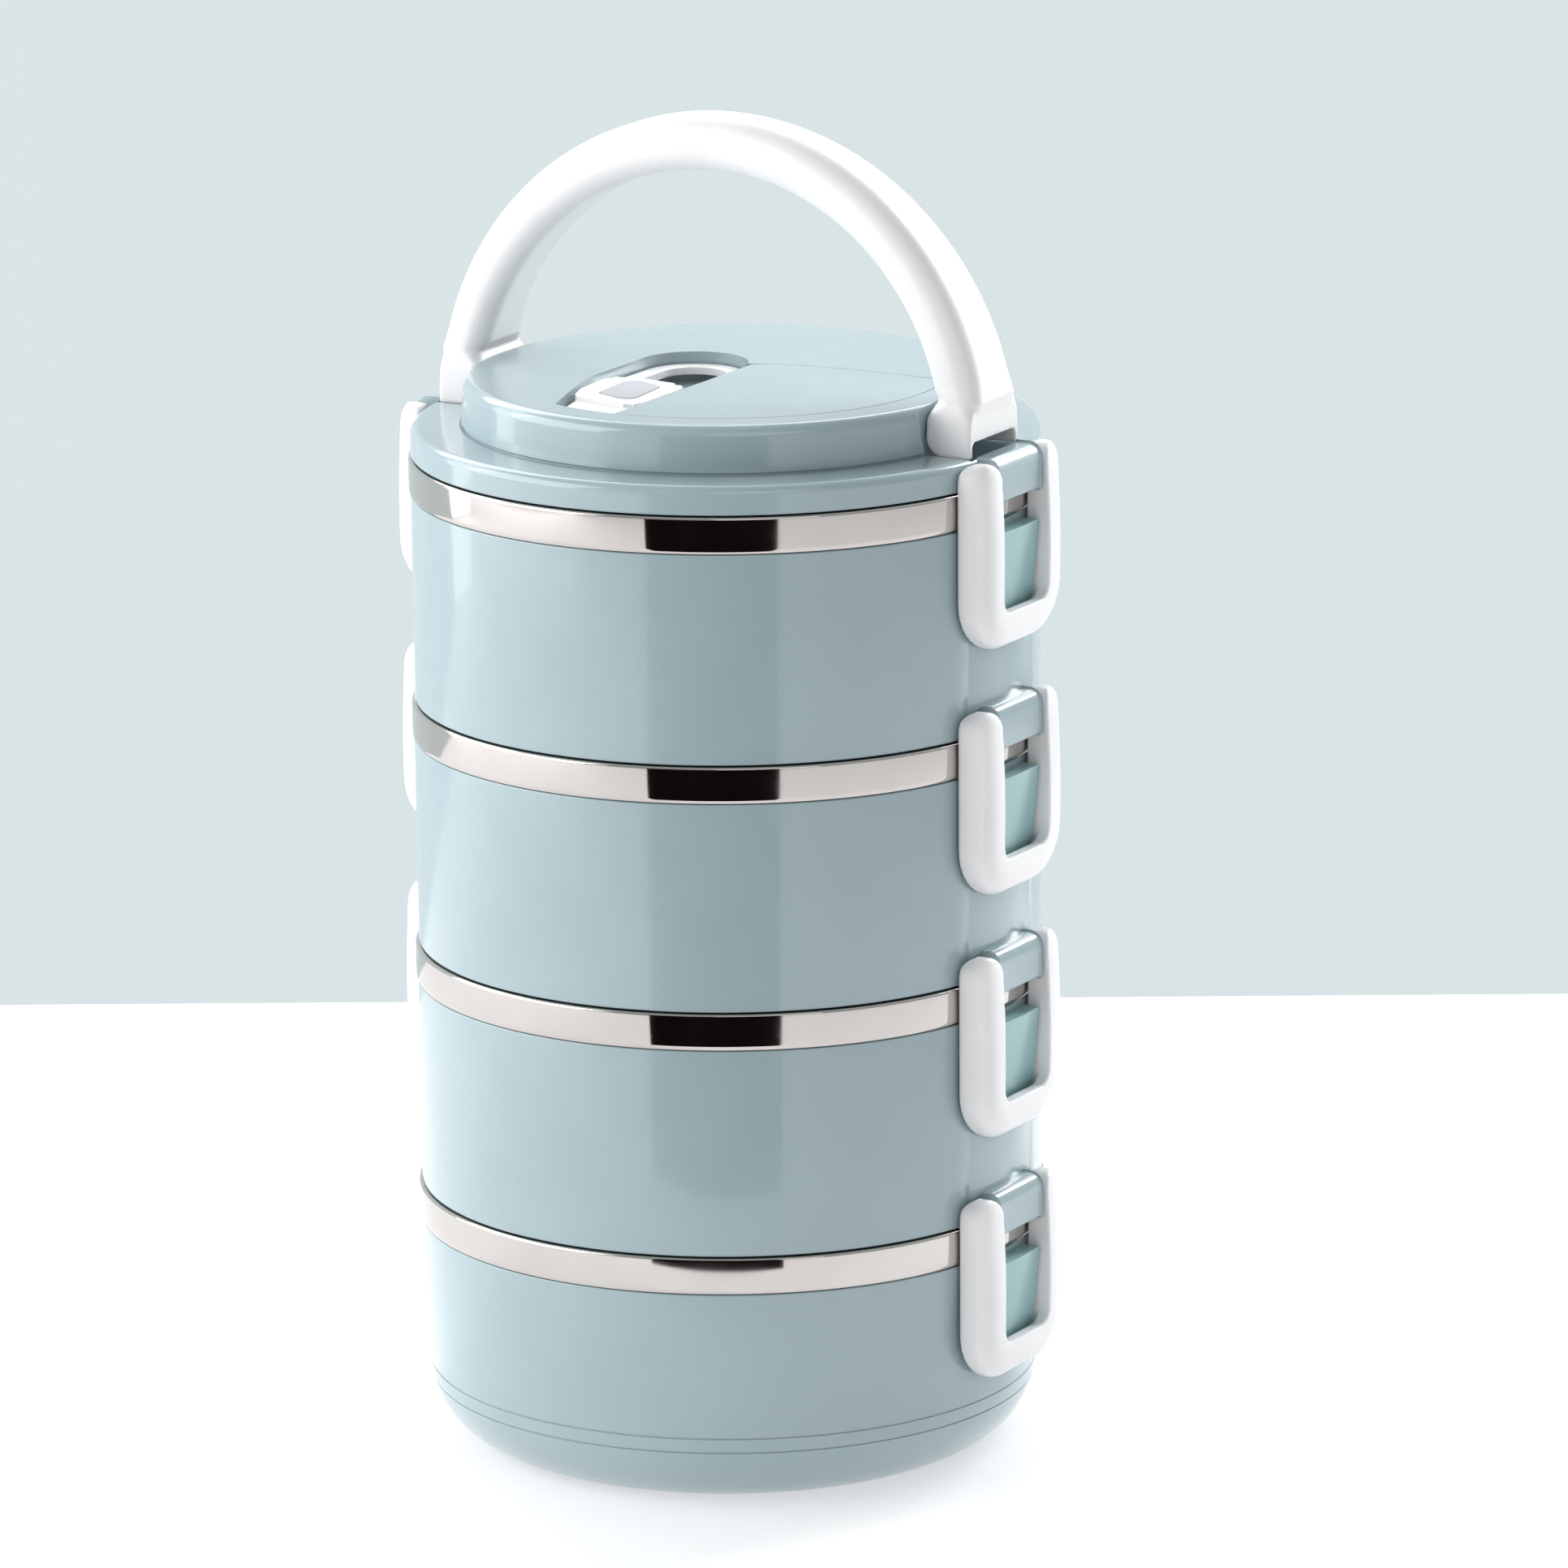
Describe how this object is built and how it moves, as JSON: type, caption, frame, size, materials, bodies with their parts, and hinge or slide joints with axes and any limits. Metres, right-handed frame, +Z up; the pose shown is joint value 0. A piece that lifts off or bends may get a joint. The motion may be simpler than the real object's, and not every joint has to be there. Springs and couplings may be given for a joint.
{
  "type": "tiffin carrier",
  "caption": "Round stacked food carrier: insulated tiers with steel bowls, hinged U-shaped clips on both sides, and a lid with an arched handle, vent lever and small compartment.",
  "frame": {"origin": "centre of the underside, on the surface it stands on", "axes": "+Z up; +X towards one column of clips and -X towards the other; the vent lever's hinge is on the -Y side of the lid"},
  "size_m": [0.158, 0.147, 0.3137],
  "materials": {
    "shell_blue": "glossy pale blue-grey",
    "keeper_teal": "satin pale teal",
    "white_plastic": "satin white",
    "polished_steel": "mirror-polished stainless steel",
    "white_silicone": "soft milky silicone",
    "grey_inlay": "satin grey"
  },
  "bodies": {
    "base": {"tier_1_shell": "shell_blue", "tier_1_liner": "polished_steel", "tier_1_keeper_right": "keeper_teal", "tier_1_keeper_left": "keeper_teal"},
    "tier_2": {"tier_2_shell": "shell_blue", "tier_2_liner": "polished_steel", "tier_2_seal": "white_silicone", "tier_2_keeper_right": "keeper_teal", "tier_2_keeper_left": "keeper_teal", "tier_2_clip_pin_right": "polished_steel", "tier_2_clip_pin_left": "polished_steel"},
    "tier_3": {"tier_3_shell": "shell_blue", "tier_3_liner": "polished_steel", "tier_3_seal": "white_silicone", "tier_3_keeper_right": "keeper_teal", "tier_3_keeper_left": "keeper_teal", "tier_3_clip_pin_right": "polished_steel", "tier_3_clip_pin_left": "polished_steel"},
    "tier_4": {"tier_4_shell": "shell_blue", "tier_4_liner": "polished_steel", "tier_4_seal": "white_silicone", "tier_4_keeper_right": "keeper_teal", "tier_4_keeper_left": "keeper_teal", "tier_4_clip_pin_right": "polished_steel", "tier_4_clip_pin_left": "polished_steel"},
    "lid": {"lid_shell": "shell_blue", "lid_inner_plate": "white_plastic", "lid_seal": "white_silicone", "lid_clip_pin_right": "polished_steel", "lid_clip_pin_left": "polished_steel", "handle_pin_right": "polished_steel", "handle_pin_left": "polished_steel", "vent_lever_pin": "polished_steel"},
    "tier_2_clip_right": {"tier_2_clip_right": "white_plastic"},
    "tier_2_clip_left": {"tier_2_clip_left": "white_plastic"},
    "tier_3_clip_right": {"tier_3_clip_right": "white_plastic"},
    "tier_3_clip_left": {"tier_3_clip_left": "white_plastic"},
    "tier_4_clip_right": {"tier_4_clip_right": "white_plastic"},
    "tier_4_clip_left": {"tier_4_clip_left": "white_plastic"},
    "lid_clip_right": {"lid_clip_right": "white_plastic"},
    "lid_clip_left": {"lid_clip_left": "white_plastic"},
    "handle": {"handle": "white_plastic"},
    "vent_lever": {"vent_lever": "white_plastic", "vent_lever_inlay": "grey_inlay", "vent_plug": "white_silicone"},
    "compartment_cover": {"compartment_cover": "shell_blue"}
  },
  "joints": [
    {"name": "tier_2_lift", "type": "slide", "parent": "base", "child": "tier_2", "axis": [0, 0, 1], "range_m": [0, 0.025]},
    {"name": "tier_2_clip_right_swing", "type": "hinge", "parent": "tier_2", "child": "tier_2_clip_right", "pos_m": [0.0746, 0, 0.0653], "axis": [0, -1, 0], "range_deg": [0, 110]},
    {"name": "tier_2_clip_left_swing", "type": "hinge", "parent": "tier_2", "child": "tier_2_clip_left", "pos_m": [-0.0746, 0, 0.0653], "axis": [0, 1, 0], "range_deg": [0, 110]},
    {"name": "tier_3_lift", "type": "slide", "parent": "tier_2", "child": "tier_3", "axis": [0, 0, 1], "range_m": [0, 0.025]},
    {"name": "tier_3_clip_right_swing", "type": "hinge", "parent": "tier_3", "child": "tier_3_clip_right", "pos_m": [0.0746, 0, 0.123], "axis": [0, -1, 0], "range_deg": [0, 110]},
    {"name": "tier_3_clip_left_swing", "type": "hinge", "parent": "tier_3", "child": "tier_3_clip_left", "pos_m": [-0.0746, 0, 0.123], "axis": [0, 1, 0], "range_deg": [0, 110]},
    {"name": "tier_4_lift", "type": "slide", "parent": "tier_3", "child": "tier_4", "axis": [0, 0, 1], "range_m": [0, 0.025]},
    {"name": "tier_4_clip_right_swing", "type": "hinge", "parent": "tier_4", "child": "tier_4_clip_right", "pos_m": [0.0746, 0, 0.1807], "axis": [0, -1, 0], "range_deg": [0, 110]},
    {"name": "tier_4_clip_left_swing", "type": "hinge", "parent": "tier_4", "child": "tier_4_clip_left", "pos_m": [-0.0746, 0, 0.1807], "axis": [0, 1, 0], "range_deg": [0, 110]},
    {"name": "lid_lift", "type": "slide", "parent": "tier_4", "child": "lid", "axis": [0, 0, 1], "range_m": [0, 0.025]},
    {"name": "lid_clip_right_swing", "type": "hinge", "parent": "lid", "child": "lid_clip_right", "pos_m": [0.0746, 0, 0.2384], "axis": [0, -1, 0], "range_deg": [0, 110]},
    {"name": "lid_clip_left_swing", "type": "hinge", "parent": "lid", "child": "lid_clip_left", "pos_m": [-0.0746, 0, 0.2384], "axis": [0, 1, 0], "range_deg": [0, 110]},
    {"name": "handle_swing", "type": "hinge", "parent": "lid", "child": "handle", "pos_m": [0, 0, 0.249], "axis": [-1, 0, 0], "range_deg": [-26, 26]},
    {"name": "vent_lever_raise", "type": "hinge", "parent": "lid", "child": "vent_lever", "pos_m": [0, -0.0476, 0.25], "axis": [1, 0, 0], "range_deg": [0, 40]},
    {"name": "compartment_cover_lift", "type": "slide", "parent": "lid", "child": "compartment_cover", "axis": [0, 0, 1], "range_m": [0, 0.012]}
  ],
  "couplings": [
    {"joint": "tier_2_clip_right_swing", "follows": "tier_2_lift", "rad_per_m": 76.7},
    {"joint": "tier_2_clip_left_swing", "follows": "tier_2_lift", "rad_per_m": 76.7},
    {"joint": "tier_3_clip_right_swing", "follows": "tier_3_lift", "rad_per_m": 76.7},
    {"joint": "tier_3_clip_left_swing", "follows": "tier_3_lift", "rad_per_m": 76.7},
    {"joint": "tier_4_clip_right_swing", "follows": "tier_4_lift", "rad_per_m": 76.7},
    {"joint": "tier_4_clip_left_swing", "follows": "tier_4_lift", "rad_per_m": 76.7},
    {"joint": "lid_clip_right_swing", "follows": "lid_lift", "rad_per_m": 76.7},
    {"joint": "lid_clip_left_swing", "follows": "lid_lift", "rad_per_m": 76.7}
  ]
}
